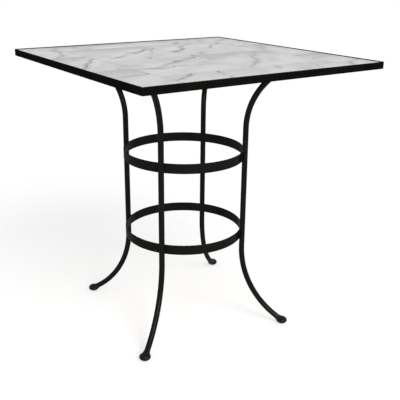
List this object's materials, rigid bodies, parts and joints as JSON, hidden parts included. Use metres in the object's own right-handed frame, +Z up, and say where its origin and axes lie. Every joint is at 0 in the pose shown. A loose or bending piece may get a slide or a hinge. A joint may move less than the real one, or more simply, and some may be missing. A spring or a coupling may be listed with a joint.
{
  "type": "pub table",
  "caption": "Square bar-height table with a tiled stone-look top in a black steel rim, on a welded round-bar base that flares out at head and foot, tied by two bands.",
  "frame": {"origin": "on the floor, under the middle of the square top", "axes": "+Z up; +X runs to the right along the front edge of the top, +Y to its back edge"},
  "size_m": [1.016, 1.016, 1.075],
  "materials": {
    "tile": "satin glazed porcelain with a grey and tan marble print",
    "grout": "fine, matte cement grout, pale grey",
    "mortar": "grey cement mortar, hidden under the tiles",
    "deck_plywood": "unfinished softwood plywood",
    "rim_paint": "black semi-gloss paint on steel angle",
    "base_paint": "black semi-matte powder coat with a fine orange peel, on forged steel",
    "screw_steel": "zinc-plated steel, dulled"
  },
  "bodies": {
    "root": {"rim_front": "rim_paint", "rim_right": "rim_paint", "rim_back": "rim_paint", "rim_left": "rim_paint", "cross_bar_left": "rim_paint", "cross_bar_right": "rim_paint", "deck": "deck_plywood", "mortar_bed": "mortar", "grout": "grout", "tile_left_front": "tile", "tile_left_centre": "tile", "tile_left_back": "tile", "tile_middle_left_front": "tile", "tile_middle_left_inner_front": "tile", "tile_middle_left_inner_back": "tile", "tile_middle_left_back": "tile", "tile_middle_right_front": "tile", "tile_middle_right_inner_front": "tile", "tile_middle_right_inner_back": "tile", "tile_middle_right_back": "tile", "tile_right_front": "tile", "tile_right_centre": "tile", "tile_right_back": "tile", "upper_ring": "base_paint", "lower_ring": "base_paint", "leg_back_right": "base_paint", "leg_back_left": "base_paint", "leg_front_left": "base_paint", "leg_front_right": "base_paint", "foot_back_right": "base_paint", "foot_back_left": "base_paint", "foot_front_left": "base_paint", "foot_front_right": "base_paint", "mounting_plate_back_right": "base_paint", "mounting_plate_back_left": "base_paint", "mounting_plate_front_left": "base_paint", "mounting_plate_front_right": "base_paint", "mounting_screws": "screw_steel"}
  },
  "joints": []
}
